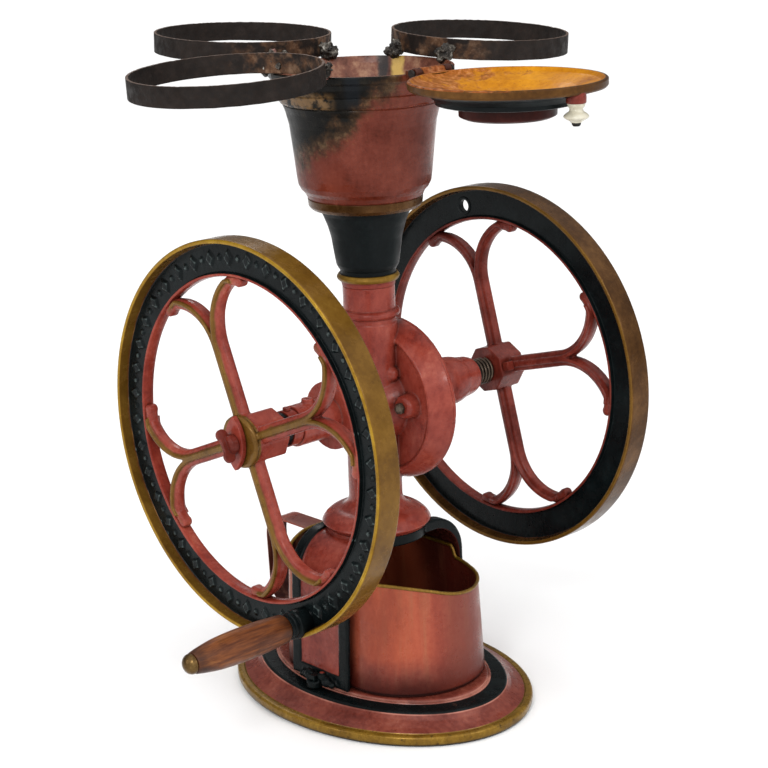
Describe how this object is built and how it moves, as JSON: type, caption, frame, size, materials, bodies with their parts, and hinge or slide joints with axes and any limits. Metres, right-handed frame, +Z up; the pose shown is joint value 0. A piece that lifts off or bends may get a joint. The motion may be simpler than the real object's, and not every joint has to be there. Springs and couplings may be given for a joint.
{
  "type": "coffee mill",
  "caption": "Two-wheeled cast-iron coffee mill on an oval base, with a crank, a flared hopper with an opened lid, a catch bin and iron hoops welded round the hopper.",
  "frame": {"origin": "middle of the base's underside, below the column", "axes": "+Z up, X along the axle with the crank wheel at -X, -Y towards the front, where the bin shows and the opened lid lies"},
  "size_m": [0.6128, 0.5894, 0.7238],
  "materials": {
    "red_paint": "worn satin",
    "black_paint": "satin",
    "gold_paint": "worn bronze-gold",
    "gold_trim": "bronze-gold",
    "bare_steel": "worn",
    "dark_steel": "darkened",
    "cast_iron": "raw",
    "rusty_iron": "rusted",
    "brass": "tarnished",
    "wood": "oiled and worn",
    "porcelain": "glazed"
  },
  "bodies": {
    "stand": {"base_plate": "red_paint", "pedestal_arch": "red_paint", "grinder_body": "red_paint", "foot_screws": "red_paint", "hold_down_bolts": "black_paint", "drum_cover": "red_paint", "cover_screws": "red_paint", "face_bolt": "bare_steel", "bush_left": "brass", "bush_right": "brass", "outer_burr": "cast_iron", "hopper_throat": "black_paint", "hopper_screws": "dark_steel", "hopper_bowl": "red_paint", "lid_hinge_pin": "dark_steel", "ring_left": "rusty_iron", "ring_back": "rusty_iron", "ring_right": "rusty_iron", "weld_lumps": "rusty_iron"},
    "shaft": {"axle": "dark_steel", "flywheel_left": "red_paint", "flywheel_right": "red_paint", "inner_burr": "cast_iron", "feed_worm": "cast_iron", "shaft_collar": "red_paint", "collar_screw": "red_paint", "thrust_spacer": "black_paint", "spring": "dark_steel", "spring_washer": "dark_steel", "hub_set_screw": "red_paint", "adjust_plate": "red_paint", "handle_spindle": "dark_steel", "handle_tip": "brass"},
    "grip": {"handle_grip": "wood"},
    "thumb": {"thumb_screw": "red_paint"},
    "lid": {"lid": "gold_paint", "lid_knob": "porcelain", "lid_knob_screw": "dark_steel"},
    "bin": {"bin": "red_paint", "bin_rim": "gold_trim", "bin_handle": "red_paint", "bin_rivets": "red_paint"}
  },
  "joints": [
    {"name": "axle_spin", "type": "hinge", "parent": "stand", "child": "shaft", "pos_m": [0, 0, 0.3293], "axis": [1, 0, 0], "continuous": true},
    {"name": "grip_spin", "type": "hinge", "parent": "shaft", "child": "grip", "pos_m": [-0.26, -0.078, 0.1515], "axis": [1, 0, 0], "continuous": true},
    {"name": "thumb_screw_turn", "type": "hinge", "parent": "shaft", "child": "thumb", "pos_m": [-0.195, 0, 0.3293], "axis": [1, 0, 0], "continuous": true},
    {"name": "lid_hinge", "type": "hinge", "parent": "stand", "child": "lid", "pos_m": [0, -0.1038, 0.6945], "axis": [-1, 0, 0], "range_deg": [0, 160]},
    {"name": "bin_slide", "type": "slide", "parent": "stand", "child": "bin", "axis": [0, 1, 0], "range_m": [0, 0.16]}
  ]
}
